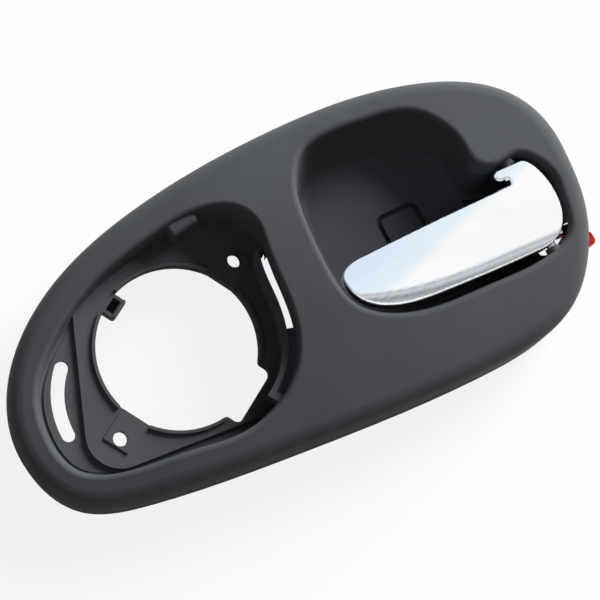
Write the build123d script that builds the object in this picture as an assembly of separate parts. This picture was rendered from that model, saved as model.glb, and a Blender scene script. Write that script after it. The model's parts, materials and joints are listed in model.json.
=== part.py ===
from build123d import *
import os
from math import asin, cos, degrees, radians, sin, sqrt

# Car interior door handle, lying face up: X along the lever, Y across it, Z out of the door panel.
# The origin is the middle of the bezel's outline, on the plane of its rim. All sizes are in millimetres.

# Plan of the bezel, added up from left to right
RIM_LEFT = 12.3          # left end to the speaker pod
POD_LENGTH = 113.1
BRIDGE = 14.7            # pod to the finger recess
END_GAP = 3.8            # lever's ends to the edge of the recess
LEVER_LENGTH = 96.1
RIM_RIGHT = 11.6         # recess to the right end

# Plan of the bezel, added up from top to bottom
RIM_TOP = 12.0           # top edge to the finger cup
CUP_REACH = 53.2         # cup's opening beyond the lever's upper edge
LEVER_WIDTH = 29.2
SIDE_GAP = 4.0           # lever's lower edge to the edge of the recess
RIM_BOTTOM = 29.7        # recess to the bottom edge

# Bezel moulding
HEIGHT = 32.0
CROWN_LONG = 1000.0      # radius of the face along X
CROWN_ACROSS = 300.0     # radius of the face across Y
EDGE_ROLL = 8.0          # rounding of the outer edge
SKIRT_DRAFT = 1.0        # how far the skirt leans in over its height
WALL = 2.5
POD_EDGE = 1.8           # rounding of the pod's rim
RECESS_EDGE = 2.4        # rounding of the recess's rim
FLOOR_Z = 4.0            # floor of the finger recess
FLOOR_ROUND = 4.0        # rounding where the recess's walls meet its floor
RIB_WALL = 1.8
RIB_FOOT = 8.0           # lower edge of the ribs

# Speaker pod
POD_WIDTH = 93.9
POD_RISE = 3.4           # pod's middle above the bezel's middle
SEAT_Z = 12.0            # height of the tilted floor below the pod's middle
SEAT_SLOPE = 9.0         # tilt of the floor, degrees
SEAT_AZIMUTH = -22.0     # way that the floor falls, degrees from X
PLATFORM_RISE = 2.0      # raised platform above the floor
PLATFORM_CORNER = 14.0
SHELF_SPAN = (24.0, -57.0)   # groove, degrees round the speaker from X
SLOT_SPAN = (22.0, -18.0)    # part of the groove that is open through the floor
SPEAKER_RADIUS = 33.3
SPEAKER_X = 6.1          # speaker's middle from the pod's middle
SPEAKER_Y = -2.9
SCREW_ANGLE = 32.0       # line of the two speaker screws, degrees from X
SCREW_CIRCLE = 86.6
SCREW_HOLE = 6.0
PAD_WIDTH = 11.5
PAD_LENGTH = 14.0
PAD_RISE = 0.8
LIP_WALL = 1.3
LIP_RISE = 1.5
NOTCH_WIDTH = 25.5
NOTCH_REACH = 37.3       # flat of the notch from the speaker's middle
NOTCH_CORNER = 3.0
NOTCH_SHOULDER = 2.0     # rounding where the notch leaves the hole
HOOK_WIDTH = 8.5
HOOK_REACH = 6.0
HOOK_DEPTH = 7.0
HOOK_CORNER = 1.5
TAB_SLOT_WIDTH = 5.5     # slot of the grille's left tab
GROOVE_WIDTH = 3.2       # groove of the grille's right tab
GROOVE_DEPTH = 3.0
GROOVE_INSET = 1.0       # pod's edge to the groove
GROOVE_LIP = 2.2         # wall between the groove and the speaker
GROOVE_END = 4.0         # closed end of the groove, degrees round the speaker
SHELF_DROP = 7.0         # groove's lip below the pod's rim
BUMP_LENGTH = 13.5       # rounded block on the pod's upper wall
BUMP_DEPTH = 7.4
BUMP_TOP = 26.0
BUMP_X = 28.4            # block's middle from the pod's middle
BUMP_Y = 40.4
BUMP_TURN = 10.0
BUMP_ROUND = 2.4

# Screw cover in the floor of the cup
COVER_ALONG = 38.3       # lever's left end to the cover's middle
COVER_ABOVE = 6.3        # lever's upper edge to the cover's middle
COVER_SIDE = 15.6
COVER_GROOVE = 1.7       # open groove round the cover
COVER_HEIGHT = 2.2
COVER_SHELL = 1.0
COVER_CORNER = 2.0
COVER_BASE = 1.5         # floor below the cover
COVER_SCREW = 6.0

# Hinge
HINGE_SETBACK = 11.0     # lever's right end to the hinge axis
HINGE_Z = 21.0
PIN_DIAMETER = 4.0
PIN_CHAMFER = 0.4
PIN_FIT = 0.02           # radial clearance in the bezel
LEVER_FIT = 0.05         # radial clearance in the lever
BOSS_RADIUS = 5.0
BOSS_LENGTH = 3.0        # pin boss outside the recess's wall
COLLAR_WALL = 1.1        # collar round the pin, inside the recess
COLLAR_GAP = 0.5         # collar to the lever

# Lever
LEVER_TOP = 33.0
LEVER_CREST = 36.0       # lever's left end to its highest point
LEVER_CROWN_LONG = 300.0
LEVER_CROWN_ACROSS = 70.0
LEVER_EDGE = 1.5
LEVER_WALL = 2.2
LEVER_TIP_Z = 24.0       # underside at the tip
LEVER_HEEL_Z = 19.0      # underside at the heel
EAR_RISE = 8.0           # upper ear beyond the lever's upper edge
EAR_LENGTH = 20.5        # upper ear from the right end
EAR_GAP = 3.5            # upper ear to the edge of the recess
EAR_SLIT = 2.8
EAR_SLIT_DEPTH = 5.2
EAR_RADIUS = 5.5
EAR_WALL = 3.2
LOWER_EAR_INSET = 2.5
ROD_OUT = 13.0           # rod hole beyond the hinge axis
ROD_DOWN = 10.0          # rod hole below the hinge axis
ROD_EYE = 3.8            # radius of the arm round the rod hole
ROD_STUD = 4.0           # diameter of the clip's stud
STOP_RIB = 2.0           # rib that meets the bumper
SEAT_RIB = 1.6           # rib that the spring pushes
SEAT_RIB_WIDTH = 5.0

# Pocket under the lever's heel and passage for the latch rod
POCKET_BACK = 30.0       # lever's right end to the pocket's edge
POCKET_REACH = 8.0       # pocket beyond the edge of the lever's well
POCKET_FLOOR = 1.5       # thickness of the pocket's floor
PASSAGE_LENGTH = 8.0     # opening in the well's corner, along its far side
PASSAGE_WIDTH = 15.0
ARM_PASSAGE_TOP = 21.6   # slot for the arm in the well's right wall
SKIRT_GAP = 0.8          # round the clip in the notch of the skirt

# Return spring
WIRE = 1.4
COIL_RADIUS = 4.0
COIL_TURNS = 5
COIL_PITCH = 1.6
COIL_DROP = 6.3          # lever's upper edge to the coil's first turn
SPRING_LEAN = 30.0       # slope of the legs, degrees
SPRING_PUSH = 5.8        # length of the leg under the lever

# Rod clip
CLIP_WIDTH = 6.0
CLIP_HEIGHT = 6.0
CLIP_TAIL = 7.4          # rod hole to the clip's tip
CLIP_GAP = 0.4           # arm to clip
CLIP_COLLAR = 2.5        # collar of the clip beside the arm
CLIP_ROUND = 2.0
CLIP_BORE = 3.0

# Lever bumper
BUMPER_DIAMETER = 8.0
BUMPER_HEIGHT = 2.6
BUMPER_GAP = 0.3
BUMPER_STEM = 3.6
BUMPER_STEM_LENGTH = 3.0
POST_WALL = 1.6

# Outline of the bezel, as shares of its half length and half width, anticlockwise
FACE_OUTLINE = (
    (1.0, 0.07), (0.906, 0.611), (0.612, 0.908), (0.155, 1.0), (-0.337, 0.914),
    (-0.724, 0.65), (-0.949, 0.213), (-1.0, -0.161), (-0.906, -0.623), (-0.704, -0.781),
    (-0.207, -0.916), (0.438, -1.0), (0.792, -0.855), (0.959, -0.412),
)

# Outline of the pod, as shares of its half length and half width, and how softly its wall rolls in there
POD_OUTLINE = (
    (1.0, 0.425, 0.3), (0.926, 0.849, 0.9), (0.65, 1.0, 1.0), (0.218, 0.932, 0.6), (-0.30, 0.742, 0.35),
    (-0.70, 0.433, 0.2), (-0.933, 0.11, 0.1), (-1.0, -0.235, 0.0), (-0.912, -0.67, 0.0), (-0.65, -0.847, 0.0),
    (-0.183, -0.938, 0.0), (0.27, -1.0, 0.0), (0.613, -0.864, 0.0), (0.853, -0.538, 0.0),
    (0.942, -0.086, 0.1),
)

# Edges of the raised platform and middle line of the left tab's slot, from the speaker's middle
PLATFORM_EDGE = ((60.0, 60.0), (-26.0, 60.0), (-26.0, 48.4), (-54.6, -33.4), (60.0, -42.5))
TAB_SLOT_PATH = ((-45.3, 12.3), (-51.8, 1.5), (-54.0, -12.8))

# How far a wall has come in at each level from above the rim to the floor
POD_STEEP = (-0.8, 0.0, 0.8, 1.6, 3.0)
POD_SOFT = (-7.0, 0.0, 3.5, 7.5, 10.0)
RECESS_STEEP = (-0.8, 0.0, 0.6, 1.4, 2.2, 3.5)
RECESS_SCOOP = (-0.8, 0.0, 0.6, 2.6, 6.8, 13.0)
RECESS_TONGUE = (-10.0, 0.0, 3.5, 5.5, 6.5, 7.0)


def lever_under(x):
    """Height of the lever's underside over a point of X."""
    return LEVER_TIP_Z + (LEVER_HEEL_Z - LEVER_TIP_Z) * (x - LEVER_LEFT) / LEVER_LENGTH


# Sizes that follow from those above
LENGTH = RIM_LEFT + POD_LENGTH + BRIDGE + LEVER_LENGTH + 2 * END_GAP + RIM_RIGHT
WIDTH = RIM_TOP + CUP_REACH + LEVER_WIDTH + SIDE_GAP + RIM_BOTTOM
POD_X = -LENGTH / 2 + RIM_LEFT + POD_LENGTH / 2
LEVER_RIGHT = LENGTH / 2 - RIM_RIGHT - END_GAP
LEVER_LEFT = LEVER_RIGHT - LEVER_LENGTH
LEVER_UPPER = WIDTH / 2 - RIM_TOP - CUP_REACH
LEVER_LOWER = LEVER_UPPER - LEVER_WIDTH
EAR_TOP = LEVER_UPPER + EAR_RISE
RECESS_LEFT = LEVER_LEFT - END_GAP
RECESS_RIGHT = LEVER_RIGHT + END_GAP
RECESS_LOW = LEVER_LOWER - SIDE_GAP
RECESS_TOP = LEVER_UPPER + CUP_REACH
RECESS_EAR = EAR_TOP + EAR_GAP
RECESS_X = (RECESS_LEFT + RECESS_RIGHT) / 2
RECESS_Y = (RECESS_LOW + RECESS_TOP) / 2
HINGE_X = LEVER_RIGHT - HINGE_SETBACK
ROD_X = HINGE_X + ROD_OUT
ROD_Z = HINGE_Z - ROD_DOWN
ARM_Y = LEVER_LOWER + LOWER_EAR_INSET
CLIP_Y = ARM_Y - CLIP_GAP - CLIP_COLLAR - CLIP_WIDTH / 2
COIL_START = LEVER_UPPER - COIL_DROP
COVER_X = LEVER_LEFT + COVER_ALONG
COVER_Y = LEVER_UPPER + COVER_ABOVE
PIN_LOW = RECESS_LOW - WALL - BOSS_LENGTH
PIN_HIGH = RECESS_EAR + WALL + BOSS_LENGTH
PIN_HOLE = PIN_DIAMETER / 2 + PIN_FIT
POCKET_X = LEVER_RIGHT - POCKET_BACK
BUMPER_X = POCKET_X - BUMPER_DIAMETER
BUMPER_Y = LEVER_LOWER + LEVER_WIDTH / 3
BUMPER_Z = lever_under(BUMPER_X) - BUMPER_GAP - BUMPER_HEIGHT
DEEP = 2 * HEIGHT        # longer than any cut needs to be


def mixed(first, second, share):
    """A wall profile that lies between two others."""
    return tuple(a + (b - a) * share for a, b in zip(first, second))


def moved_in(points, distances):
    """Points of an anticlockwise outline, each moved inwards along the outline's normal."""
    result = []
    for index, (x, y) in enumerate(points):
        before = points[index - 1]
        after = points[(index + 1) % len(points)]
        run = Vector(after[0] - before[0], after[1] - before[1]).normalized()
        result.append((x - run.Y * distances[index], y + run.X * distances[index]))
    return result


def ring(plane, points):
    """A smooth closed curve through points of a plane."""
    return plane * Wire([Spline(*points, periodic=True)])


def basin(points, profiles, planes, growth=0.0):
    """A hollow whose walls follow one profile per outline point, from the first plane to the last."""
    rings = []
    for level, plane in enumerate(planes):
        distances = [profile[level] - growth for profile in profiles]
        rings.append(ring(plane, moved_in(points, distances)))
    return Solid.make_loft(rings, False)


def crown(top, along, across, reach):
    """A block under a face that is rounded along X and across Y, with its highest point over the origin."""
    side = top - across + sqrt(across ** 2 - reach ** 2)
    outline = Plane.YZ * make_face([
        ThreePointArc((-reach, side), (0, top), (reach, side)),
        Polyline((reach, side), (reach, -DEEP), (-reach, -DEEP), (-reach, side)),
    ])
    axis = Axis((0, 0, top - along), (0, 1, 0))
    turn = degrees(asin(2 * reach / along))
    return revolve(outline.rotate(axis, -turn), axis, 2 * turn)


def crown_height(x, y):
    """Height of the bezel's face over a point of the plan."""
    reach = CROWN_LONG - CROWN_ACROSS + sqrt(CROWN_ACROSS ** 2 - y ** 2)
    return HEIGHT - CROWN_LONG + sqrt(reach ** 2 - x ** 2)


def face_block(inset):
    """The bezel's outside as a solid block, or the space inside its skin."""
    outline = [(x * LENGTH / 2, y * WIDTH / 2) for x, y in FACE_OUTLINE]
    foot = moved_in(outline, [inset] * len(outline))
    head = moved_in(outline, [inset + SKIRT_DRAFT] * len(outline))
    start = Plane.XY.offset(-inset)
    block = Solid.make_loft([ring(start, foot), ring(Plane.XY.offset(HEIGHT), head)], True)
    face = crown(HEIGHT - inset, CROWN_LONG - inset, CROWN_ACROSS - inset, WIDTH)
    block = (block & face).solid()
    crest = block.faces().filter_by(GeomType.TORUS)[0]
    return block.fillet(EDGE_ROLL - inset, crest.outer_wire().edges())


def pod_plane(height, share):
    """A level of the pod, from the slope of the face (share 0) to the slope of its floor (share 1)."""
    fall = sin(radians(SEAT_SLOPE)) * share
    lean_x = fall * cos(radians(SEAT_AZIMUTH)) + POD_X / CROWN_LONG * (1 - share)
    lean_y = fall * sin(radians(SEAT_AZIMUTH))
    return Plane(origin=(POD_X, POD_RISE, height), x_dir=(1, 0, -lean_x), z_dir=(lean_x, lean_y, 1))


def pod_basin(growth=0.0):
    """The pod's hollow, or with growth the hollow and its skin."""
    points = [(x * POD_LENGTH / 2, y * POD_WIDTH / 2) for x, y, _ in POD_OUTLINE]
    profiles = [mixed(POD_STEEP, POD_SOFT, soft) for _, _, soft in POD_OUTLINE]
    rim = crown_height(POD_X, POD_RISE)
    middle = (rim + SEAT_Z) / 2
    levels = (
        (rim + POD_EDGE, 0, 0), (rim, 0, 0), (rim - POD_EDGE, 0.15, 0.5), (middle, 0.5, 0.75), (SEAT_Z, 1, 1),
    )
    planes = [pod_plane(height - growth * drop, share) for height, share, drop in levels]
    return basin(points, profiles, planes, growth)


def recess_plane(height, share):
    """A level of the finger recess, from the slope of the face (share 0) to flat (share 1)."""
    lean_x = RECESS_X / CROWN_LONG * (1 - share)
    return Plane(origin=(RECESS_X, RECESS_Y, height), x_dir=(1, 0, -lean_x), z_dir=(lean_x, 0, 1))


def recess_outline():
    """Points of the recess's edge with their wall profiles: lever well, tongue, cup, left end, lower side."""
    heel = mixed(RECESS_STEEP, RECESS_TONGUE, 0.05)
    lip = mixed(RECESS_STEEP, RECESS_TONGUE, 0.15)
    shoulder = mixed(RECESS_TONGUE, RECESS_SCOOP, 0.3)
    crest = mixed(RECESS_TONGUE, RECESS_SCOOP, 0.6)
    corner = mixed(RECESS_STEEP, RECESS_SCOOP, 0.8)
    flank = mixed(RECESS_STEEP, RECESS_SCOOP, 0.3)
    lever_middle = (LEVER_UPPER + LEVER_LOWER) / 2
    return (
        (RECESS_RIGHT, lever_middle + 5.5, RECESS_STEEP),
        (RECESS_RIGHT - 2.2, RECESS_EAR - 7.6, RECESS_STEEP),
        (RECESS_RIGHT - 10.0, RECESS_EAR, heel),
        (RECESS_RIGHT - 20.0, RECESS_EAR - 0.2, lip),
        (RECESS_RIGHT - 25.5, RECESS_EAR + 3.8, RECESS_TONGUE),
        (RECESS_RIGHT - 26.6, RECESS_EAR + 12.8, shoulder),
        (RECESS_RIGHT - 30.5, RECESS_EAR + 24.3, crest),
        (RECESS_RIGHT - 41.0, RECESS_TOP - 6.5, RECESS_SCOOP),
        (RECESS_RIGHT - 58.0, RECESS_TOP - 1.6, RECESS_SCOOP),
        (RECESS_LEFT + 28.0, RECESS_TOP, RECESS_SCOOP),
        (RECESS_LEFT + 14.0, RECESS_TOP - 2.4, corner),
        (RECESS_LEFT + 5.2, RECESS_TOP - 12.8, flank),
        (RECESS_LEFT + 0.6, LEVER_UPPER + 19.5, RECESS_STEEP),
        (RECESS_LEFT, LEVER_UPPER + 2.5, RECESS_STEEP),
        (RECESS_LEFT + 3.6, LEVER_LOWER + 13.0, RECESS_STEEP),
        (RECESS_LEFT + 15.7, LEVER_LOWER + 2.8, RECESS_STEEP),
        (RECESS_LEFT + 43.0, RECESS_LOW + 0.7, RECESS_STEEP),
        (RECESS_RIGHT - 45.0, RECESS_LOW, RECESS_STEEP),
        (RECESS_RIGHT - 19.0, RECESS_LOW, RECESS_STEEP),
        (RECESS_RIGHT - 5.0, LEVER_LOWER + 2.1, RECESS_STEEP),
    )


def recess_basin(growth=0.0):
    """The finger recess's hollow, or with growth the hollow and its skin."""
    outline = recess_outline()
    points = [(x - RECESS_X, y - RECESS_Y) for x, y, _ in outline]
    profiles = [profile for _, _, profile in outline]
    rim = crown_height(RECESS_X, RECESS_Y)
    depth = rim - FLOOR_Z
    levels = (
        (rim + RECESS_EDGE, 0, 0), (rim, 0, 0), (rim - RECESS_EDGE, 0.1, 0.5),
        (rim - 0.4 * depth, 0.4, 0.6), (rim - 0.75 * depth, 0.8, 0.8), (FLOOR_Z, 1, 1),
    )
    planes = [recess_plane(height - growth * drop, share) for height, share, drop in levels]
    hollow = basin(points, profiles, planes, growth)
    return hollow.fillet(FLOOR_ROUND + growth, hollow.faces().sort_by(Axis.Z)[0].edges())


def pod_band(first, second):
    """A band of the plan that follows the pod's edge, between two distances from it."""
    points = [(POD_X + x * POD_LENGTH / 2, POD_RISE + y * POD_WIDTH / 2) for x, y, _ in POD_OUTLINE]
    outer_edge = make_face(ring(Plane.XY, moved_in(points, [first] * len(points))))
    inner_edge = make_face(ring(Plane.XY, moved_in(points, [second] * len(points))))
    return outer_edge - inner_edge


def wedge(start, stop):
    """A sector of the plan round the speaker's middle, between two angles in degrees."""
    reach = POD_LENGTH
    middle = Vector(POD_X + SPEAKER_X, POD_RISE + SPEAKER_Y)
    angles = (start, (start + stop) / 2, stop)
    corners = [middle + Vector(reach, 0).rotate(Axis.Z, angle) for angle in angles]
    return make_face(Polyline(middle, *corners, close=True))


def on_seat(shape, turn=0.0):
    """A shape moved to the speaker's platform: its origin is the speaker's middle, on the platform's face."""
    seat = pod_plane(SEAT_Z, 1).location
    return seat * Pos(SPEAKER_X, SPEAKER_Y, PLATFORM_RISE) * Rot(0, 0, turn) * shape


def platform():
    """The raised platform round the speaker, bounded by a ridge on the left and a step below."""
    outline = make_face(Polyline(*PLATFORM_EDGE, close=True))
    corner = outline.vertices().sort_by(Axis.X)[0]
    outline = fillet(corner, PLATFORM_CORNER)
    return on_seat(extrude(outline, -PLATFORM_RISE - WALL))


def pads():
    """The two screw pads, flat blocks that run outwards from the speaker's hole."""
    chord = sqrt(SPEAKER_RADIUS ** 2 - (PAD_WIDTH / 2) ** 2)
    block = Box(PAD_LENGTH, PAD_WIDTH, PLATFORM_RISE + PAD_RISE)
    block = block.moved(Pos(chord + PAD_LENGTH / 2, 0, (PAD_RISE - PLATFORM_RISE) / 2))
    return [on_seat(block, SCREW_ANGLE), on_seat(block, SCREW_ANGLE + 180)]


def hole_lip():
    """The thin raised lip round the speaker's hole, open at the pads, the notch and the hook."""
    lip = Circle(SPEAKER_RADIUS + LIP_WALL) - Circle(SPEAKER_RADIUS - LIP_WALL)
    lip -= Rectangle(3 * SPEAKER_RADIUS, PAD_WIDTH + 2 * LIP_WALL)
    lip -= Pos(0, -SPEAKER_RADIUS) * Rectangle(NOTCH_WIDTH + 2 * LIP_WALL, SPEAKER_RADIUS)
    lip -= Pos(0, SPEAKER_RADIUS) * Rectangle(HOOK_WIDTH + 2 * LIP_WALL, SPEAKER_RADIUS)
    return on_seat(extrude(lip, LIP_RISE), SCREW_ANGLE)


def speaker_opening():
    """The speaker's hole with its flats at the pads and its notch, and the two screw holes, as one cutter."""
    chord = sqrt(SPEAKER_RADIUS ** 2 - (PAD_WIDTH / 2) ** 2)
    notch = Pos(0, -NOTCH_REACH / 2) * Rectangle(NOTCH_WIDTH, NOTCH_REACH)
    notch = fillet(notch.vertices().group_by(Axis.Y)[0], NOTCH_CORNER)
    opening = (Circle(SPEAKER_RADIUS) & Rectangle(2 * chord, 3 * SPEAKER_RADIUS)) + notch
    mouth = -sqrt(SPEAKER_RADIUS ** 2 - (NOTCH_WIDTH / 2) ** 2)
    shoulders = [Vector(side * NOTCH_WIDTH / 2, mouth) for side in (-1, 1)]
    opening = fillet([opening.vertices().sort_by_distance(place)[0] for place in shoulders], NOTCH_SHOULDER)
    for side in (-1, 1):
        opening += Pos(side * SCREW_CIRCLE / 2, 0) * Circle(SCREW_HOLE / 2)
    return on_seat(extrude(opening, DEEP, both=True), SCREW_ANGLE)


def tab_slot():
    """The arc slot for the grille's left tab, as a cutter."""
    slot = SlotArc(ThreePointArc(*TAB_SLOT_PATH), TAB_SLOT_WIDTH)
    return on_seat(extrude(slot, DEEP, both=True))


def snap_hook():
    """The hook that holds the speaker opposite the notch: a deep box with a pocket and a nose on its edge."""
    root = SPEAKER_RADIUS + LIP_WALL
    reach = HOOK_REACH + LIP_WALL
    plan = Pos(0, root - reach / 2) * Rectangle(HOOK_WIDTH, reach)
    plan = fillet(plan.vertices().group_by(Axis.Y)[0], HOOK_CORNER)
    pocket = Pos(0, root - reach / 2) * Rectangle(HOOK_WIDTH - 2 * LIP_WALL, reach - 3 * LIP_WALL)
    hook = extrude(plan, -HOOK_DEPTH) - extrude(pocket, LIP_WALL - HOOK_DEPTH)
    nose = plan & (Pos(0, root - reach) * Rectangle(HOOK_WIDTH, 2 * LIP_WALL))
    return on_seat(hook + extrude(nose, LIP_RISE), SCREW_ANGLE)


def wall_bump():
    """The rounded block on the pod's upper wall."""
    block = Box(BUMP_LENGTH, BUMP_DEPTH, BUMP_TOP, align=(Align.CENTER, Align.CENTER, Align.MIN))
    edges = block.edges().filter_by(Axis.Z) + block.faces().sort_by(Axis.Z)[-1].edges()
    block = fillet(edges, BUMP_ROUND)
    return Pos(POD_X + BUMP_X, POD_RISE + BUMP_Y, 0) * Rot(0, 0, BUMP_TURN) * block


SHELF_TOP = crown_height(POD_X + POD_LENGTH / 2, POD_RISE) - SHELF_DROP


def tab_shelf():
    """The wall along the pod's right side that makes the groove for the grille's right tab."""
    band = pod_band(-WALL, GROOVE_INSET + GROOVE_WIDTH + GROOVE_LIP) & wedge(*SHELF_SPAN)
    return extrude(band, SHELF_TOP)


def tab_groove():
    """The groove in that wall, its slot, and the open space on the hidden side below it, as cutters."""
    ends = wedge(SHELF_SPAN[0], SHELF_SPAN[1] + GROOVE_END)
    band = pod_band(GROOVE_INSET, GROOVE_INSET + GROOVE_WIDTH)
    groove = Pos(0, 0, SHELF_TOP) * extrude(band & ends, -GROOVE_DEPTH)
    slot = Pos(0, 0, SHELF_TOP) * extrude(band & wedge(*SLOT_SPAN), -DEEP)
    below = pod_band(-2 * WALL, GROOVE_INSET + GROOVE_WIDTH)
    below &= wedge(SHELF_SPAN[0] - GROOVE_END, SHELF_SPAN[1] + GROOVE_END)
    return [groove, slot, extrude(below, SHELF_TOP - GROOVE_DEPTH - WALL)]


def across(shape, y):
    """A sketch drawn in X and Z, stood up on the plane at a given Y, facing away from the viewer."""
    return Plane(origin=(0, y, 0), x_dir=(1, 0, 0), z_dir=(0, -1, 0)) * shape


def along_pin(radius, low, high):
    """A cylinder on the hinge axis between two places of Y."""
    return across(extrude(Pos(HINGE_X, HINGE_Z) * Circle(radius), high - low), high)


def pin_collars():
    """The collars round the pin between the recess's walls and the lever."""
    collars = []
    for low, high in ((PIN_LOW, LEVER_LOWER - COLLAR_GAP), (EAR_TOP + COLLAR_GAP, PIN_HIGH)):
        collars.append(along_pin(PIN_HOLE + COLLAR_WALL, low, high) - along_pin(PIN_HOLE, low, high))
    return collars


def heel_block(grown, low):
    """A block over the pocket under the lever's heel, from a height up to the recess's floor."""
    corner = Vector(POCKET_X - grown, RECESS_LOW - grown, low)
    other = Vector(RECESS_RIGHT, RECESS_EAR + POCKET_REACH + grown, FLOOR_Z)
    return Pos(*((corner + other) / 2)) * Box(*(other - corner))


def heel_pocket():
    """The sunken part of the recess's floor under the lever's heel."""
    floor = recess_basin().faces().sort_by(Axis.Z)[0]
    return extrude(floor, FLOOR_Z, dir=(0, 0, -1)) & heel_block(0, POCKET_FLOOR)


def rod_passage():
    """The openings where the clip and the lever's arm pass the well's corner, and the notch in the skirt."""
    left = HINGE_X - SKIRT_GAP
    right = ROD_X + ROD_EYE + SKIRT_GAP
    past_boss = HINGE_X + BOSS_RADIUS + SKIRT_GAP
    upper = ARM_Y + EAR_WALL + CLIP_GAP + SKIRT_GAP
    lower = upper - PASSAGE_WIDTH
    turn = left + PASSAGE_LENGTH
    edge = Polyline((left, upper), (right, upper), (right, CLIP_Y), (turn, lower), (left, lower), close=True)
    slot = Box(right - past_boss, EAR_WALL + 2 * SKIRT_GAP, 2 * ARM_PASSAGE_TOP)
    slot = Pos((past_boss + right) / 2, ARM_Y + EAR_WALL / 2, 0) * slot
    top = ROD_Z + CLIP_HEIGHT / 2 + SKIRT_GAP
    notch = Box(LENGTH / 2 - past_boss, CLIP_WIDTH + 2 * SKIRT_GAP, 2 * top)
    notch = Pos((LENGTH / 2 + past_boss) / 2, CLIP_Y, 0) * notch
    return [extrude(make_face(edge), top), slot, notch]


def cover_place():
    """The middle of the screw cover, on the floor below it."""
    return Pos(COVER_X, COVER_Y, COVER_BASE)


def cover_pocket():
    """The square pocket for the screw cover and the screw hole below it, as one cutter."""
    side = COVER_SIDE + 2 * COVER_GROOVE
    pocket = extrude(RectangleRounded(side, side, COVER_CORNER + COVER_GROOVE), DEEP)
    pocket += extrude(Circle(COVER_SCREW / 2), -DEEP)
    return cover_place() * pocket


def cover_boss():
    """The thicker floor round the screw cover."""
    side = COVER_SIDE + 2 * (COVER_GROOVE + WALL)
    block = extrude(RectangleRounded(side, side, COVER_CORNER + COVER_GROOVE), FLOOR_Z)
    return Pos(COVER_X, COVER_Y, 0) * block


def stiffeners():
    """Ribs on the hidden side: across the bridge, and from the recess to the skirt."""
    ribs = []
    bridge_x = POD_X + POD_LENGTH / 2 + BRIDGE / 2
    for y in (-WIDTH / 6, WIDTH / 6):
        ribs.append(Pos(bridge_x, y, 0) * Box(3 * BRIDGE, RIB_WALL, 2 * HEIGHT))
    for share in (0.2, 0.5, 0.8):
        x = RECESS_LEFT + share * (RECESS_RIGHT - RECESS_LEFT)
        ribs.append(Pos(x, RECESS_LOW - RIM_BOTTOM / 2, 0) * Box(RIB_WALL, RIM_BOTTOM, 2 * HEIGHT))
    return [rib & (Pos(0, 0, RIB_FOOT + HEIGHT / 2) * Box(LENGTH, WIDTH, HEIGHT)) for rib in ribs]


def bumper_post():
    """The hollow post that carries the rubber bumper under the lever."""
    radius = BUMPER_STEM / 2 + POST_WALL
    return Pos(BUMPER_X, BUMPER_Y, 0) * extrude(Circle(radius), BUMPER_Z)


def bumper_hole():
    """The hole for the bumper's stem."""
    return Pos(BUMPER_X, BUMPER_Y, BUMPER_Z) * extrude(Circle(BUMPER_STEM / 2), -BUMPER_STEM_LENGTH)


def bezel():
    """The whole grey moulding."""
    hidden = [along_pin(BOSS_RADIUS, PIN_LOW, PIN_HIGH), cover_boss(), heel_block(WALL, 0), *stiffeners()]
    cavity = face_block(WALL).cut(pod_basin(WALL), recess_basin(WALL), *hidden)
    pod_space = pod_basin().cut(platform(), tab_shelf(), wall_bump(), hole_lip(), *pads())
    body = face_block(0.0).cut(pod_space, recess_basin().cut(bumper_post())).solid()
    for edge, rank in ((POD_EDGE, 0), (RECESS_EDGE, -1)):
        crest = body.faces().filter_by(GeomType.TORUS).sort_by(SortBy.AREA)[-1]
        rim = crest.inner_wires().sort_by(Axis.X)[rank]
        body = body.fillet(edge, rim.edges())
    holes = [speaker_opening(), tab_slot(), *tab_groove(), heel_pocket(), *rod_passage()]
    holes += [along_pin(PIN_HOLE, PIN_LOW, PIN_HIGH), cover_pocket(), bumper_hole()]
    return body.cut(cavity, *holes).fuse(snap_hook(), *pin_collars()).solid()


def lever_sides(inset):
    """The lever's plan from its heel, along its lower edge and round its tip, to its upper edge."""
    left = LEVER_LEFT + inset
    right = LEVER_RIGHT - inset
    upper = LEVER_UPPER - inset
    lower = LEVER_LOWER + inset
    heel = (right, LEVER_UPPER - 8.7)
    heel_low = (right - 16.0, lower)
    waist = (left + 32.6, lower + 2.0)
    tip = (left, upper - 6.3)
    return [
        Bezier(heel, (right, lower + 6.9), (right - 6.5, lower), heel_low),
        Bezier(heel_low, (right - 33.5, lower), (left + 48.6, lower + 0.8), waist),
        Bezier(waist, (left + 14.6, lower + 3.2), (left, lower + 9.0), tip),
        Bezier(tip, (left, upper - 1.8), (left + 4.6, upper), (left + 10.6, upper)),
    ]


def lever_outline():
    """Plan of the lever with the slit between its upper ear and the paddle."""
    sides = lever_sides(0.0)
    ear_left = LEVER_RIGHT - EAR_LENGTH
    slit_top = LEVER_UPPER + EAR_SLIT
    slit_end = ear_left + EAR_SLIT_DEPTH - EAR_SLIT / 2
    ear_round = (EAR_TOP - slit_top) / 2
    ear_end = (LEVER_RIGHT - 6.8, EAR_TOP)
    nose_x = ear_left + ear_round
    slit_bend = (slit_end + EAR_SLIT / 2, LEVER_UPPER + EAR_SLIT / 2)
    return make_face([
        *sides,
        Line(sides[-1] @ 1, (slit_end, LEVER_UPPER)),
        ThreePointArc((slit_end, LEVER_UPPER), slit_bend, (slit_end, slit_top)),
        Line((slit_end, slit_top), (nose_x, slit_top)),
        ThreePointArc((nose_x, slit_top), (ear_left, slit_top + ear_round), (nose_x, EAR_TOP)),
        Line((nose_x, EAR_TOP), ear_end),
        Bezier(ear_end, (LEVER_RIGHT - 2.3, EAR_TOP), (LEVER_RIGHT, LEVER_UPPER - 1.3), sides[0] @ 0),
    ])


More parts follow.
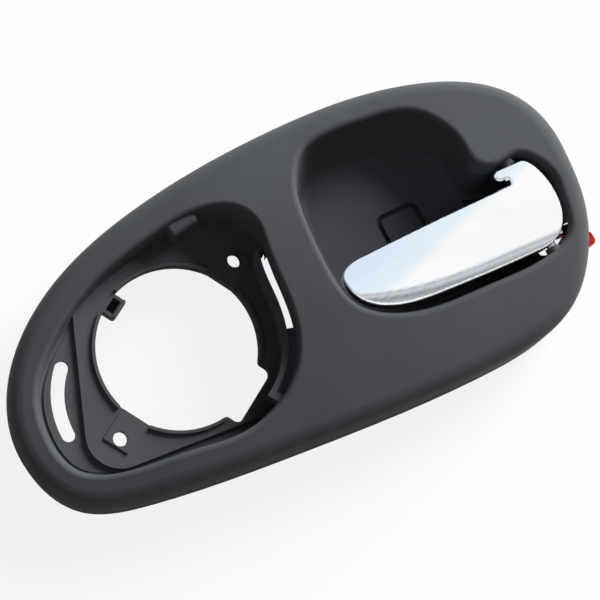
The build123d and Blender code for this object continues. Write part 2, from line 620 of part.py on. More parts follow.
def lever_crown(drop):
    """The block under the lever's rounded face, lowered by a wall."""
    face = crown(LEVER_TOP - drop, LEVER_CROWN_LONG - drop, LEVER_CROWN_ACROSS - drop, 2 * LEVER_WIDTH)
    return Pos(LEVER_LEFT + LEVER_CREST, (LEVER_UPPER + LEVER_LOWER) / 2, 0) * face


def taper(start, start_radius, stop, stop_radius):
    """Two circles joined by their outer tangents."""
    run = Vector(*stop) - Vector(*start)
    lean = 90 - degrees(asin((start_radius - stop_radius) / run.length))
    corners = []
    for place, radius, turn in ((start, start_radius, lean), (start, start_radius, -lean),
                                (stop, stop_radius, -lean), (stop, stop_radius, lean)):
        corners.append(Vector(*place) + run.normalized().rotate(Axis.Z, turn) * radius)
    joint = make_face(Polyline(*corners, close=True))
    return joint + Pos(*start) * Circle(start_radius) + Pos(*stop) * Circle(stop_radius)


def hinge_ear(y, arm):
    """One hinge ear from its hub up into the lever, with the rod's arm on the lower one."""
    hub = (HINGE_X, HINGE_Z)
    rise = LEVER_TOP - HINGE_Z
    plate = Pos(*hub) * Circle(EAR_RADIUS)
    plate += Pos(HINGE_X, HINGE_Z + rise / 2) * Rectangle(2 * EAR_RADIUS, rise)
    if arm:
        plate += taper(hub, EAR_RADIUS, (ROD_X, ROD_Z), ROD_EYE)
    return across(extrude(plate, EAR_WALL), y + EAR_WALL)


def lever_space():
    """The hollow below the lever's face, down past its underside."""
    sides = lever_sides(LEVER_WALL)
    start = sides[-1] @ 1
    corner = Vector(LEVER_RIGHT - LEVER_WALL, start.Y)
    plan = make_face([*sides, Polyline(start, corner, sides[0] @ 0)])
    return extrude(plan, DEEP) & lever_crown(LEVER_WALL)


def below_lever():
    """The space below the lever's slanted underside."""
    left = LEVER_LEFT - END_GAP
    right = RECESS_RIGHT
    side = make_face(Polyline(
        (left, lever_under(left)), (right, lever_under(right)), (right, -DEEP), (left, -DEEP), close=True))
    return across(extrude(side, 2 * WIDTH), WIDTH)


def lever():
    """The chrome paddle, hollow below, with its hinge ears, ribs and rod arm."""
    paddle = (extrude(lever_outline(), DEEP) & lever_crown(0.0)).solid()
    crest = paddle.faces().filter_by(GeomType.TORUS)[0]
    paddle = paddle.fillet(LEVER_EDGE, crest.outer_wire().edges())
    stop = Pos(BUMPER_X, 0, 0) * Box(STOP_RIB, WIDTH, DEEP)
    paddle = paddle - (lever_space() - stop - spring_seat()) - below_lever()
    paddle += hinge_ear(ARM_Y, True) & lever_crown(LEVER_WALL / 2)
    paddle += hinge_ear(EAR_TOP - LOWER_EAR_INSET - EAR_WALL, False) & lever_crown(LEVER_WALL / 2)
    for x, z, diameter in ((HINGE_X, HINGE_Z, PIN_DIAMETER), (ROD_X, ROD_Z, ROD_STUD)):
        bore = Pos(x, z) * Circle(diameter / 2 + LEVER_FIT)
        paddle -= across(extrude(bore, 2 * WIDTH), WIDTH)
    return paddle.solid()


def spring_axis(y):
    """The plane across the hinge axis at a given Y, with its X towards the start of the spring's legs."""
    lean = radians(SPRING_LEAN)
    return Plane(origin=(HINGE_X, y, HINGE_Z), x_dir=(sin(lean), 0, -cos(lean)), z_dir=(0, -1, 0))


def return_spring():
    """The torsion spring: a coil round the pin with one leg on the floor and one under the lever."""
    coil = Helix(COIL_PITCH, COIL_TURNS * COIL_PITCH, COIL_RADIUS)
    wire = RegularPolygon(WIRE / 2, 6)
    spring = sweep(Plane(origin=coil @ 0, z_dir=coil % 0) * wire, path=coil)
    lean = radians(SPRING_LEAN)
    rest = (HINGE_Z - COIL_RADIUS * cos(lean) - FLOOR_Z - WIRE / 2) / sin(lean)
    spring += extrude(Plane(origin=coil @ 0, z_dir=(0, -1, 0)) * wire, rest)
    spring += extrude(Plane(origin=coil @ 1, z_dir=(0, 1, 0)) * wire, SPRING_PUSH)
    return spring_axis(COIL_START) * spring


def spring_seat():
    """The rib under the lever's tail that the spring's short leg pushes up."""
    lean = radians(SPRING_LEAN)
    x = HINGE_X + COIL_RADIUS * sin(lean) + (SPRING_PUSH - SEAT_RIB) * cos(lean)
    z = HINGE_Z - COIL_RADIUS * cos(lean) + SPRING_PUSH * sin(lean) + WIRE / 2
    y = COIL_START - COIL_TURNS * COIL_PITCH
    return Pos(x, y, z + DEEP / 2) * Box(SEAT_RIB, SEAT_RIB_WIDTH, DEEP)


def hinge_pin():
    """The steel pin with chamfered ends."""
    pin = along_pin(PIN_DIAMETER / 2, PIN_LOW, PIN_HIGH)
    return chamfer(pin.edges().filter_by(GeomType.CIRCLE), PIN_CHAMFER)


def rod_clip():
    """The red clip on the lever's arm: a stud through the arm, a collar and a bored body for the rod."""
    top = CLIP_Y + CLIP_WIDTH / 2
    heel = Pos(ROD_X, ROD_Z) * Circle(CLIP_HEIGHT / 2)
    tail = Pos(ROD_X + CLIP_TAIL / 2, ROD_Z) * Rectangle(CLIP_TAIL, CLIP_HEIGHT)
    clip = across(extrude(heel + tail, CLIP_WIDTH), top)
    clip = fillet(clip.faces().sort_by(Axis.X)[-1].edges().filter_by(Axis.Z), CLIP_ROUND)
    clip += across(extrude(heel, CLIP_COLLAR), top + CLIP_COLLAR)
    stud = Pos(ROD_X, ROD_Z) * Circle(ROD_STUD / 2)
    clip += across(extrude(stud, CLIP_GAP + EAR_WALL + CLIP_GAP), ARM_Y + EAR_WALL + CLIP_GAP)
    bore = Plane.YZ * Pos(CLIP_Y, ROD_Z) * Circle(CLIP_BORE / 2)
    return clip - Pos(ROD_X, 0, 0) * extrude(bore, 2 * CLIP_TAIL)


def screw_cover():
    """The square cap over the screw in the cup's floor, hollow below."""
    cap = extrude(RectangleRounded(COVER_SIDE, COVER_SIDE, COVER_CORNER), COVER_HEIGHT)
    cap = chamfer(cap.faces().sort_by(Axis.Z)[-1].edges(), COVER_SHELL / 3)
    side = COVER_SIDE - 2 * COVER_SHELL
    cap -= extrude(RectangleRounded(side, side, COVER_CORNER - COVER_SHELL / 2), COVER_HEIGHT - COVER_SHELL)
    return cover_place() * cap


def lever_bumper():
    """The rubber pad on its post, with its stem."""
    pad = extrude(Circle(BUMPER_DIAMETER / 2), BUMPER_HEIGHT)
    pad = fillet(pad.faces().sort_by(Axis.Z)[-1].edges(), BUMPER_HEIGHT / 3)
    pad += extrude(Circle(BUMPER_STEM / 2), -BUMPER_STEM_LENGTH)
    return Pos(BUMPER_X, BUMPER_Y, BUMPER_Z) * pad


os.makedirs("parts", exist_ok=True)
export_step(lever(), "parts/lever.step")
export_step(return_spring(), "parts/return_spring.step")
export_step(hinge_pin(), "parts/hinge_pin.step")
export_step(rod_clip(), "parts/rod_clip.step")
export_step(screw_cover(), "parts/screw_cover.step")
export_step(lever_bumper(), "parts/lever_bumper.step")
export_step(bezel(), "parts/bezel.step")
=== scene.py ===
"""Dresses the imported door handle: finishes, lever shell, wire spring, floor, light and camera."""

import json
import logging
import math
from dataclasses import dataclass, field
from enum import Enum

import bmesh
import bpy
from mathutils import Matrix, Vector

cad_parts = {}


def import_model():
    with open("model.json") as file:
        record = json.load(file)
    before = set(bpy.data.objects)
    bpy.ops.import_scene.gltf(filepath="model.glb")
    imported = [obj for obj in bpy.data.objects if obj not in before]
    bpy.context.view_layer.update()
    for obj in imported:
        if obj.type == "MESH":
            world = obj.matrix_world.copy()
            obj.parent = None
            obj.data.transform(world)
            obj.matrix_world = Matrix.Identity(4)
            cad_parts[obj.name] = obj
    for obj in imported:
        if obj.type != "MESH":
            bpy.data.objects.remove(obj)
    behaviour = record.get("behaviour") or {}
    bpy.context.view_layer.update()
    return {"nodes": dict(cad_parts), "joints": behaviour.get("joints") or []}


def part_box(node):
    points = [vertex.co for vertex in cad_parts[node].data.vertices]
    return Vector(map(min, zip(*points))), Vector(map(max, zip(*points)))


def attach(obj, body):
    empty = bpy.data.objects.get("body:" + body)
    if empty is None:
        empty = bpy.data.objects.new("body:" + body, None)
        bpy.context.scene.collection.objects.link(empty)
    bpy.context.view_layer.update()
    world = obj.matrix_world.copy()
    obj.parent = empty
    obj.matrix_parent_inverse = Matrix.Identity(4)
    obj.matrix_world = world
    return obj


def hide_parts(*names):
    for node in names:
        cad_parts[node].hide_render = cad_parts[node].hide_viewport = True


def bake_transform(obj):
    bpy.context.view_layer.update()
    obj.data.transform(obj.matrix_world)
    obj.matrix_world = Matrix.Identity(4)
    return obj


LOG = logging.getLogger("door_handle")
MM = 0.001

Colour = tuple[float, float, float]
Paint = tuple[float, float, float, float]
Stops = tuple[tuple[float, Paint], ...]

WHITE: Paint = (1.0, 1.0, 1.0, 1.0)


class Body(Enum):
    """The rigid bodies that the new pieces ride on."""

    BEZEL = "bezel"
    LEVER = "lever"


class NodeBoard:
    """A material's node tree with short helpers for adding and joining nodes."""

    def __init__(self, tree: bpy.types.NodeTree) -> None:
        """Keeps the tree.

        Args:
            tree: The node tree of a material, a world or a group.
        """
        self.tree = tree

    def add(self, kind: str, **settings: object) -> bpy.types.Node:
        """Adds a node.

        Args:
            kind: The node's type name.
            **settings: Properties of the node.

        Returns:
            The new node.
        """
        node = self.tree.nodes.new(kind)
        for name, value in settings.items():
            setattr(node, name, value)
        return node

    def join(self, source: bpy.types.NodeSocket, target: bpy.types.NodeSocket) -> None:
        """Links an output to an input."""
        self.tree.links.new(source, target)

    def scaled(self, source: bpy.types.NodeSocket, low: float, high: float) -> bpy.types.NodeSocket:
        """Maps a value from the range 0 to 1 to another range.

        Args:
            source: The value.
            low: The result where the value is 0.
            high: The result where the value is 1.

        Returns:
            The mapped value.
        """
        node = self.add("ShaderNodeMapRange")
        node.inputs["To Min"].default_value = low
        node.inputs["To Max"].default_value = high
        self.join(source, node.inputs["Value"])
        return node.outputs["Result"]

    def per_size(self, size: bpy.types.NodeSocket) -> bpy.types.NodeSocket:
        """Turns a size in millimetres into the scale of a texture.

        Args:
            size: The size.

        Returns:
            The scale, per metre.
        """
        node = self.add("ShaderNodeMath", operation="DIVIDE")
        node.inputs[0].default_value = 1.0 / MM
        self.join(size, node.inputs[1])
        return node.outputs[0]

    def ramp(self, source: bpy.types.NodeSocket, colours: Stops) -> bpy.types.Node:
        """Lays colours over a value.

        Args:
            source: The value, from 0 to 1.
            colours: Two or more stops, in rising order.

        Returns:
            The ramp's node.
        """
        node = self.add("ShaderNodeValToRGB")
        stops = node.color_ramp.elements
        for position, _ in colours[2:]:
            stops.new(position)
        for stop, (position, colour) in zip(stops, colours):
            stop.position = position
            stop.color = colour
        self.join(source, node.inputs["Fac"])
        return node


class ShaderGroup:
    """A shader node group that several finishes share, built once."""

    name = "group"

    def tree(self) -> bpy.types.NodeTree:
        """Finds the group, or builds it the first time.

        Returns:
            The group's node tree.
        """
        found = bpy.data.node_groups.get(self.name)
        if found:
            return found
        tree = bpy.data.node_groups.new(self.name, "ShaderNodeTree")
        self.build(tree)
        return tree

    def build(self, tree: bpy.types.NodeTree) -> None:
        """Fills a new group.

        Args:
            tree: The empty group.
        """
        raise NotImplementedError

    @staticmethod
    def number_in(tree: bpy.types.NodeTree, name: str, value: float) -> None:
        """Adds a number input with its usual value."""
        socket = tree.interface.new_socket(name, in_out="INPUT", socket_type="NodeSocketFloat")
        socket.default_value = value

    @staticmethod
    def number_out(tree: bpy.types.NodeTree, name: str) -> None:
        """Adds a number output."""
        tree.interface.new_socket(name, in_out="OUTPUT", socket_type="NodeSocketFloat")

    def place(self, board: NodeBoard, **values: float) -> bpy.types.Node:
        """Puts the group into a material.

        Args:
            board: The material's nodes.
            **values: The group's inputs, with underscores for spaces.

        Returns:
            The group node.
        """
        node = board.add("ShaderNodeGroup", node_tree=self.tree())
        for name, value in values.items():
            node.inputs[name.replace("_", " ").capitalize()].default_value = value
        return node


class MouldGrain(ShaderGroup):
    """The fine stipple of a spark-eroded mould and the slow clouding of the plastic."""

    name = "mould_grain"
    grain_size = 0.6
    cloud_size = 40.0
    grain_detail = 2.0
    cloud_detail = 3.0

    def build(self, tree: bpy.types.NodeTree) -> None:
        """Builds the grain and the clouding on Object coordinates, with sizes in millimetres."""
        self.number_in(tree, "Grain size", self.grain_size)
        self.number_in(tree, "Cloud size", self.cloud_size)
        self.number_out(tree, "Grain")
        self.number_out(tree, "Cloud")
        board = NodeBoard(tree)
        given = board.add("NodeGroupInput")
        result = board.add("NodeGroupOutput")
        place = board.add("ShaderNodeTexCoord").outputs["Object"]
        for target, detail in (("Grain", self.grain_detail), ("Cloud", self.cloud_detail)):
            scale = board.per_size(given.outputs[f"{target} size"])
            noise = board.add("ShaderNodeTexNoise")
            noise.inputs["Detail"].default_value = detail
            board.join(place, noise.inputs["Vector"])
            board.join(scale, noise.inputs["Scale"])
            board.join(noise.outputs["Fac"], result.inputs[target])


class HandMarks(ShaderGroup):
    """Faint smears that hands leave on plated and bare metal."""

    name = "hand_marks"
    mark_size = 12.0
    stretch = (0.5, 1.0, 1.0)
    slant = math.radians(25.0)
    detail = 4.0
    distortion = 0.4

    def build(self, tree: bpy.types.NodeTree) -> None:
        """Builds a stretched noise mask on Object coordinates, with its size in millimetres."""
        self.number_in(tree, "Mark size", self.mark_size)
        self.number_out(tree, "Mark")
        board = NodeBoard(tree)
        given = board.add("NodeGroupInput")
        result = board.add("NodeGroupOutput")
        place = board.add("ShaderNodeTexCoord").outputs["Object"]
        mapping = board.add("ShaderNodeMapping")
        mapping.inputs["Scale"].default_value = self.stretch
        mapping.inputs["Rotation"].default_value = (0.0, 0.0, self.slant)
        board.join(place, mapping.inputs["Vector"])
        scale = board.per_size(given.outputs["Mark size"])
        noise = board.add("ShaderNodeTexNoise")
        noise.inputs["Detail"].default_value = self.detail
        noise.inputs["Distortion"].default_value = self.distortion
        board.join(mapping.outputs["Vector"], noise.inputs["Vector"])
        board.join(scale, noise.inputs["Scale"])
        board.join(noise.outputs["Fac"], result.inputs["Mark"])


@dataclass(frozen=True)
class Finish:
    """What every finish has: a name and a shader with a few plain values."""

    name: str

    def material(self) -> bpy.types.Material:
        """Finds the material, or builds it the first time.

        Returns:
            The material.
        """
        found = bpy.data.materials.get(self.name)
        if found:
            return found
        material = bpy.data.materials.new(self.name)
        material.use_nodes = True
        board = NodeBoard(material.node_tree)
        self.paint(board, material.node_tree.nodes["Principled BSDF"])
        return material

    def paint(self, board: NodeBoard, shader: bpy.types.Node) -> None:
        """Joins the finish's nodes to the shader.

        Args:
            board: The material's nodes.
            shader: The Principled BSDF.
        """
        raise NotImplementedError


@dataclass(frozen=True)
class MouldedPlastic(Finish):
    """Plastic with a fine moulded grain and a slow clouding of its colour."""

    dark: Colour = (0.07, 0.073, 0.079)
    light: Colour = (0.086, 0.09, 0.097)
    rough: float = 0.5
    rough_spread: float = 0.06
    shine: float = 0.1
    grain: float = 0.6
    depth: float = 0.03
    bump: float = 0.35
    cloud: float = 45.0
    cloud_span: tuple[float, float] = (0.3, 0.7)

    def paint(self, board: NodeBoard, shader: bpy.types.Node) -> None:
        """Colours the plastic by the clouding and roughens it by the grain."""
        surface = MouldGrain().place(board, grain_size=self.grain, cloud_size=self.cloud)
        start, end = self.cloud_span
        stops = ((start, (*self.dark, 1.0)), (end, (*self.light, 1.0)))
        ramp = board.ramp(surface.outputs["Cloud"], stops)
        board.join(ramp.outputs["Color"], shader.inputs["Base Color"])
        smooth = self.rough - self.rough_spread
        coarse = self.rough + self.rough_spread
        rough = board.scaled(surface.outputs["Grain"], smooth, coarse)
        board.join(rough, shader.inputs["Roughness"])
        shader.inputs["Specular IOR Level"].default_value = self.shine
        bump = board.add("ShaderNodeBump")
        bump.inputs["Strength"].default_value = self.bump
        bump.inputs["Distance"].default_value = self.depth * MM
        board.join(surface.outputs["Grain"], bump.inputs["Height"])
        board.join(bump.outputs["Normal"], shader.inputs["Normal"])


@dataclass(frozen=True)
class PlatedMetal(Finish):
    """Bright or brushed metal with faint smears."""

    colour: Colour = (0.95, 0.96, 0.97)
    shade: Colour = (0.9, 0.91, 0.92)
    rough_low: float = 0.03
    rough_high: float = 0.09
    mark: float = 12.0
    mark_span: tuple[float, float] = (0.35, 0.75)

    def paint(self, board: NodeBoard, shader: bpy.types.Node) -> None:
        """Makes the smears a little duller and darker than the clean metal."""
        shader.inputs["Metallic"].default_value = 1.0
        smears = HandMarks().place(board, mark_size=self.mark)
        start, end = self.mark_span
        stops = ((start, (*self.colour, 1.0)), (end, (*self.shade, 1.0)))
        ramp = board.ramp(smears.outputs["Mark"], stops)
        board.join(ramp.outputs["Color"], shader.inputs["Base Color"])
        rough = board.scaled(smears.outputs["Mark"], self.rough_low, self.rough_high)
        board.join(rough, shader.inputs["Roughness"])


BEZEL_PLASTIC = MouldedPlastic("bezel_plastic")
COVER_PLASTIC = MouldedPlastic(
    "cover_plastic", dark=(0.05, 0.052, 0.057), light=(0.062, 0.064, 0.07), rough=0.42,
)
CLIP_PLASTIC = MouldedPlastic(
    "clip_plastic", dark=(0.38, 0.012, 0.01), light=(0.5, 0.025, 0.02), rough=0.35, grain=1.5,
)
BUMPER_RUBBER = MouldedPlastic(
    "bumper_rubber", dark=(0.012, 0.012, 0.013), light=(0.02, 0.02, 0.021), rough=0.8,
)
LEVER_CHROME = PlatedMetal("lever_chrome")
PIN_STEEL = PlatedMetal(
    "pin_steel", colour=(0.5, 0.51, 0.53), shade=(0.38, 0.39, 0.41),
    rough_low=0.25, rough_high=0.4, mark=3.0,
)


@dataclass
class CadGroup:
    """Nodes that keep their CAD shapes and only get a finish."""

    nodes: dict[str, bpy.types.Object]
    finishes: dict[str, Finish] = field(default_factory=dict)

    def dress(self) -> None:
        """Gives each node its finish."""
        for name, finish in self.finishes.items():
            paint_node(self.nodes[name], finish)


@dataclass
class Moulding(CadGroup):
    """The grey bezel with its screw cover and bumper."""

    finishes: dict[str, Finish] = field(default_factory=lambda: {
        "bezel": BEZEL_PLASTIC, "screw_cover": COVER_PLASTIC, "lever_bumper": BUMPER_RUBBER,
    })


@dataclass
class LeverGear(CadGroup):
    """The lever's pin and the red rod clip."""

    finishes: dict[str, Finish] = field(default_factory=lambda: {
        "hinge_pin": PIN_STEEL, "rod_clip": CLIP_PLASTIC,
    })


def paint_node(node: bpy.types.Object, finish: Finish) -> None:
    """Puts a finish on a CAD node.

    Args:
        node: The node's object.
        finish: The finish.
    """
    node.data.materials.clear()
    node.data.materials.append(finish.material())
    LOG.info("%s: %s", node.name, finish.name)


@dataclass
class LeverShell:
    """The chrome lever: its CAD shape, cut finely, with the lower side rolled down to the edge."""

    node: bpy.types.Object
    crest: Vector = field(default_factory=lambda: Vector((52.2, -15.75, 33.0)) * MM)
    long_radius: float = 300.0 * MM
    across_radius: float = 70.0 * MM
    snap: float = 0.12 * MM
    grid: float = 1.5 * MM
    low_edge: float = -30.4 * MM
    straight_from: float = 80.0 * MM
    tip: float = 16.0 * MM
    tip_rise: float = 14.0 * MM
    roll_width: float = 7.0 * MM
    roll_drop: float = 0.7 * MM
    skin: float = 1.6 * MM
    fade: float = 2.0 * MM
    merge: float = 1e-6
    sharp: float = math.radians(30.0)

    def crown(self, place: Vector) -> float:
        """Finds the height of the lever's rounded face.

        Args:
            place: A point, of which X and Y count.

        Returns:
            The face's height there.
        """
        across = math.sqrt(max(self.across_radius ** 2 - (place.y - self.crest.y) ** 2, 0.0))
        reach = self.long_radius - self.across_radius + across
        rise = math.sqrt(max(reach ** 2 - (place.x - self.crest.x) ** 2, 0.0))
        return self.crest.z - self.long_radius + rise

    def roll(self, place: Vector) -> float:
        """Finds how far the lower side rolls down at a point.

        Args:
            place: A point, of which X and Y count.

        Returns:
            The drop of the face there.
        """
        share = (self.straight_from - place.x) / (self.straight_from - self.tip)
        edge = self.low_edge + self.tip_rise * min(max(share, 0.0), 1.0) ** 3
        inward = (place.y - edge) / self.roll_width
        return self.roll_drop * (1.0 - min(max(inward, 0.0), 1.0)) ** 2

    def lowered(self, place: Vector) -> float:
        """Finds the new height of a point: on the face it follows the roll, deeper down it stays.

        Args:
            place: A point of the CAD shape.

        Returns:
            Its new height.
        """
        face = self.crown(place)
        depth = face - place.z
        height = face if abs(depth) < self.snap else place.z
        hold = min(max((depth - self.skin) / self.fade, 0.0), 1.0)
        return height - self.roll(place) * (1.0 - hold)

    def mesh(self) -> bpy.types.Mesh:
        """Merges a copy of the CAD shape, cuts it along a grid and rolls its lower side.

        Returns:
            The lever's mesh, in the row frame.
        """
        shape = bmesh.new()
        shape.from_mesh(self.node.data)
        shape.transform(self.node.matrix_world)
        bmesh.ops.remove_doubles(shape, verts=shape.verts, dist=self.merge)
        low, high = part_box(self.node.name)
        for axis in range(3):
            normal = Vector((0.0, 0.0, 0.0))
            normal[axis] = 1.0
            for step in range(1, math.ceil((high[axis] - low[axis]) / self.grid)):
                point = normal * (low[axis] + step * self.grid)
                everything = [*shape.verts, *shape.edges, *shape.faces]
                bmesh.ops.bisect_plane(shape, geom=everything, dist=self.merge,
                                       plane_co=point, plane_no=normal)
        for vert in shape.verts:
            vert.co.z = self.lowered(vert.co)
        bmesh.ops.triangulate(shape, faces=shape.faces)
        mesh = bpy.data.meshes.new("lever_shell")
        shape.to_mesh(mesh)
        shape.free()
        return mesh

    def build(self) -> bpy.types.Object:
        """Makes the lever's piece, in place of the CAD node.

        Returns:
            The lever's object.
        """
        mesh = self.mesh()
        mesh.materials.append(LEVER_CHROME.material())
        mesh.shade_smooth()
        mesh.set_sharp_from_angle(angle=self.sharp)
        shell = bpy.data.objects.new("lever_shell", mesh)
        bpy.context.scene.collection.objects.link(shell)
        even = shell.modifiers.new("even_normals", "WEIGHTED_NORMAL")
        even.keep_sharp = True
        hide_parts("lever")
        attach(shell, Body.LEVER.value)
        LOG.info("lever_shell: %d faces", len(mesh.polygons))
        return shell


@dataclass
class ReturnSpring:
    """The wire torsion spring, which twists between the bezel and the lever."""

    hinge: Vector
    wire: float = 1.4 * MM
    radius: float = 4.0 * MM
    turns: int = 5
    pitch: float = 1.6 * MM
    start: float = -7.45 * MM
    lean: float = math.radians(30.0)
    long_leg: float = 25.6 * MM
    short_leg: float = 5.8 * MM
    steps: int = 28
    sides: int = 14
    merge: float = 1e-7
    sharp: float = math.radians(50.0)

    def mesh(self) -> bpy.types.Mesh:
        """Spins a wire ring into the coil and draws out its two legs.

        Returns:
            The spring's mesh, in the row frame.
        """
        along = Vector((math.cos(self.lean), 0.0, math.sin(self.lean)))
        out = Vector((math.sin(self.lean), 0.0, -math.cos(self.lean)))
        centre = Vector((self.hinge.x, self.start, self.hinge.z))
        turn = Matrix((out, Vector((0.0, 1.0, 0.0)), -along)).transposed().to_4x4()
        shape = bmesh.new()
        bmesh.ops.create_circle(shape, segments=self.sides, radius=self.wire / 2,
                                matrix=Matrix.Translation(centre + out * self.radius) @ turn)
        first = list(shape.edges)
        self.draw_leg(shape, first, -along * self.long_leg)
        count = self.turns * self.steps
        step = Vector((0.0, -self.pitch / self.steps, 0.0))
        spun = bmesh.ops.spin(shape, geom=first, cent=centre, axis=(0.0, 1.0, 0.0), dvec=step,
                              angle=-2.0 * math.pi * self.turns, steps=count)
        last = [item for item in spun["geom_last"] if isinstance(item, bmesh.types.BMEdge)]
        self.draw_leg(shape, last, along * self.short_leg)
        bmesh.ops.remove_doubles(shape, verts=shape.verts, dist=self.merge)
        bmesh.ops.recalc_face_normals(shape, faces=shape.faces)
        mesh = bpy.data.meshes.new("wire_spring")
        shape.to_mesh(mesh)
        shape.free()
        return mesh

    @staticmethod
    def draw_leg(shape: bmesh.types.BMesh, ring: list[bmesh.types.BMEdge], run: Vector) -> None:
        """Draws a straight leg out of a ring of edges and closes its end.

        Args:
            shape: The spring so far.
            ring: The wire's ring where the leg starts.
            run: The leg's direction and length.
        """
        made = bmesh.ops.extrude_edge_only(shape, edges=ring)["geom"]
        verts = [item for item in made if isinstance(item, bmesh.types.BMVert)]
        edges = [item for item in made if isinstance(item, bmesh.types.BMEdge)]
        bmesh.ops.translate(shape, verts=verts, vec=run)
        ends = [edge for edge in edges if all(vert in verts for vert in edge.verts)]
        bmesh.ops.contextual_create(shape, geom=ends)

    def build(self) -> bpy.types.Object:
        """Makes the spring's piece, in place of the CAD node.

        Returns:
            The spring's object.
        """
        mesh = self.mesh()
        mesh.materials.append(PIN_STEEL.material())
        mesh.shade_smooth()
        mesh.set_sharp_from_angle(angle=self.sharp)
        spring = bpy.data.objects.new("wire_spring", mesh)
        bpy.context.scene.collection.objects.link(spring)
        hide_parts("return_spring")
        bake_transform(spring)
        LOG.info("wire_spring: %d faces", len(mesh.polygons))
        return spring


@dataclass(frozen=True)
class Lamp:
    """A square soft lamp: where it hangs and its side, in metres, and its power, in watts."""

    name: str
    place: tuple[float, float, float]
    side: float
    power: float


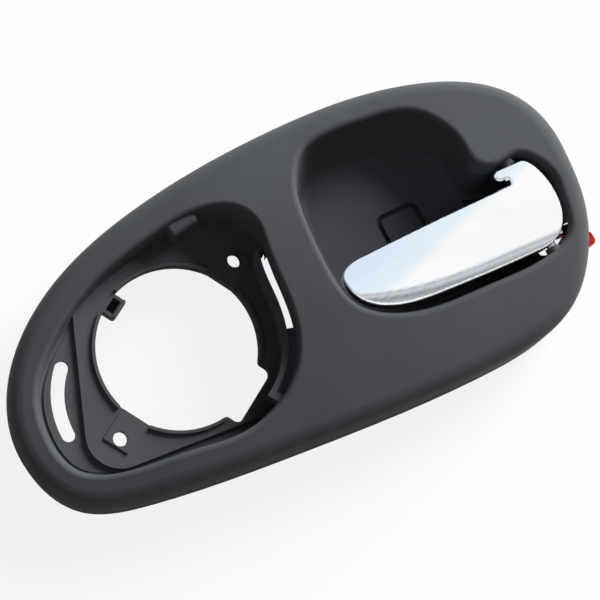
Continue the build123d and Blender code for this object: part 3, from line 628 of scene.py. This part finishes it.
@dataclass
class Studio:
    """The floor, the light and the camera."""

    target: Vector = field(default_factory=lambda: Vector((-1.132, -4.726, 20.0)) * MM)
    right: Vector = field(default_factory=lambda: Vector((0.8871792, -0.45381064, 0.08348037)))
    up: Vector = field(default_factory=lambda: Vector((0.43270621, 0.88106255, 0.19103435)))
    back: Vector = field(default_factory=lambda: Vector((-0.16024485, -0.13335923, 0.97802705)))
    distance: float = 600.0 * MM
    lens: float = 90.0
    sensor: float = 36.0
    near: float = 10.0 * MM
    floor_side: float = 6.0
    floor_colour: Colour = (0.93, 0.93, 0.925)
    floor_rough: float = 0.9
    floor_glow: float = 0.86
    slant: float = 0.26
    ambient: Colour = (0.05, 0.052, 0.055)
    key: Lamp = Lamp("key", (1.98, 0.86, 0.86), 1.2, 122.0)
    fill: Lamp = Lamp("fill", (-0.7, -0.6, 1.0), 0.9, 1.5)
    across: Stops = (
        (0.36, (0.72, 0.84, 0.97, 1.0)), (0.52, (0.83, 0.93, 1.0, 1.0)), (0.56, WHITE),
    )
    low: Stops = (
        (0.2, WHITE), (0.34, (0.55, 0.57, 0.6, 1.0)), (0.44, (0.3, 0.31, 0.33, 1.0)),
        (0.5, (0.62, 0.65, 0.7, 1.0)), (0.54, (0.5, 0.52, 0.55, 1.0)), (0.6, (0.85, 0.9, 0.97, 0.0)),
    )

    def build_floor(self) -> bpy.types.Object:
        """Lays the pale floor.

        Returns:
            The floor's object.
        """
        shape = bmesh.new()
        bmesh.ops.create_grid(shape, x_segments=1, y_segments=1, size=self.floor_side / 2)
        mesh = bpy.data.meshes.new("floor")
        shape.to_mesh(mesh)
        shape.free()
        material = bpy.data.materials.new("floor_white")
        material.use_nodes = True
        board = NodeBoard(material.node_tree)
        shader = material.node_tree.nodes["Principled BSDF"]
        shader.inputs["Base Color"].default_value = (*self.floor_colour, 1.0)
        shader.inputs["Roughness"].default_value = self.floor_rough
        shader.inputs["Specular IOR Level"].default_value = 0.0
        glow = board.add("ShaderNodeEmission")
        path = board.add("ShaderNodeLightPath")
        seen = board.add("ShaderNodeMath", operation="MULTIPLY")
        seen.inputs[1].default_value = self.floor_glow
        board.join(path.outputs["Is Camera Ray"], seen.inputs[0])
        mix = board.add("ShaderNodeMixShader")
        board.join(seen.outputs[0], mix.inputs["Fac"])
        board.join(shader.outputs["BSDF"], mix.inputs[1])
        board.join(glow.outputs["Emission"], mix.inputs[2])
        board.join(mix.outputs["Shader"], material.node_tree.nodes["Material Output"].inputs["Surface"])
        mesh.materials.append(material)
        floor = bpy.data.objects.new("floor", mesh)
        bpy.context.scene.collection.objects.link(floor)
        return floor

    def build_light(self) -> None:
        """Lights the object with a soft key light from the upper right, a weak fill and a dim sky.

        The camera sees white, and mirror rays see a pale sky, so that the plating has something to show.
        """
        world = bpy.data.worlds.new("studio")
        bpy.context.scene.world = world
        world.use_nodes = True
        board = NodeBoard(world.node_tree)
        path = board.add("ShaderNodeLightPath")
        mirror = board.add("ShaderNodeMix", data_type="RGBA")
        board.join(path.outputs["Is Glossy Ray"], mirror.inputs["Factor"])
        mirror.inputs["A"].default_value = (*self.ambient, 1.0)
        board.join(self.sky_colour(board), mirror.inputs["B"])
        seen = board.add("ShaderNodeMix", data_type="RGBA")
        board.join(path.outputs["Is Camera Ray"], seen.inputs["Factor"])
        board.join(mirror.outputs["Result"], seen.inputs["A"])
        seen.inputs["B"].default_value = WHITE
        board.join(seen.outputs["Result"], world.node_tree.nodes["Background"].inputs["Color"])
        self.add_lamp(self.key)
        self.add_lamp(self.fill)

    def sky_colour(self, board: NodeBoard) -> bpy.types.NodeSocket:
        """Colours the sky from blue to white across the picture, with grey bands near its lower side.

        Args:
            board: The world's nodes.

        Returns:
            The sky's colour.
        """
        side = self.sky_ramp(board, (self.right - self.up * self.slant).normalized(), self.across)
        low = self.sky_ramp(board, self.up, self.low)
        colour = board.add("ShaderNodeMix", data_type="RGBA")
        board.join(low.outputs["Alpha"], colour.inputs["Factor"])
        board.join(side.outputs["Color"], colour.inputs["A"])
        board.join(low.outputs["Color"], colour.inputs["B"])
        return colour.outputs["Result"]

    @staticmethod
    def sky_ramp(board: NodeBoard, along: Vector, colours: Stops) -> bpy.types.Node:
        """Lays colours over the sky along a direction.

        Args:
            board: The world's nodes.
            along: The direction in which the ramp runs.
            colours: The ramp's stops, from 0 at the far side to 1.

        Returns:
            The ramp's node.
        """
        place = board.add("ShaderNodeTexCoord")
        part = board.add("ShaderNodeVectorMath", operation="DOT_PRODUCT")
        part.inputs[1].default_value = along
        board.join(place.outputs["Generated"], part.inputs[0])
        share = board.add("ShaderNodeMapRange")
        share.inputs["From Min"].default_value = -1.0
        board.join(part.outputs["Value"], share.inputs["Value"])
        return board.ramp(share.outputs["Result"], colours)

    def add_lamp(self, lamp: Lamp) -> None:
        """Hangs a lamp that faces the object and doesn't show in mirrors.

        Args:
            lamp: The lamp.
        """
        light = bpy.data.lights.new(lamp.name, "AREA")
        light.size = lamp.side
        light.energy = lamp.power
        place = Vector(lamp.place)
        hung = bpy.data.objects.new(lamp.name, light)
        hung.location = place
        hung.rotation_euler = (self.target - place).to_track_quat("-Z", "Y").to_euler()
        hung.visible_glossy = False
        bpy.context.scene.collection.objects.link(hung)

    def build_camera(self) -> None:
        """Sets the camera to the photograph's angle."""
        data = bpy.data.cameras.new("camera")
        data.lens = self.lens
        data.sensor_width = self.sensor
        data.sensor_fit = "HORIZONTAL"
        data.clip_start = self.near
        camera = bpy.data.objects.new("camera", data)
        place = self.target + self.back * self.distance
        axes = Matrix((self.right, self.up, self.back)).transposed().to_4x4()
        camera.matrix_world = Matrix.Translation(place) @ axes
        bpy.context.scene.collection.objects.link(camera)
        bpy.context.scene.camera = camera


def main() -> None:
    """Builds every piece and the studio."""
    logging.basicConfig(level=logging.INFO, format="%(name)s %(message)s")
    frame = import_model()
    nodes = frame["nodes"]
    pivot = next(joint for joint in frame["joints"] if joint["name"] == "lever_pivot")
    Moulding(nodes).dress()
    LeverGear(nodes).dress()
    LeverShell(nodes["lever"]).build()
    ReturnSpring(Vector(pivot["pos_m"])).build()
    studio = Studio()
    studio.build_floor()
    studio.build_light()
    studio.build_camera()
    bpy.context.scene.view_settings.view_transform = "Standard"


if __name__ == "__main__":
    main()
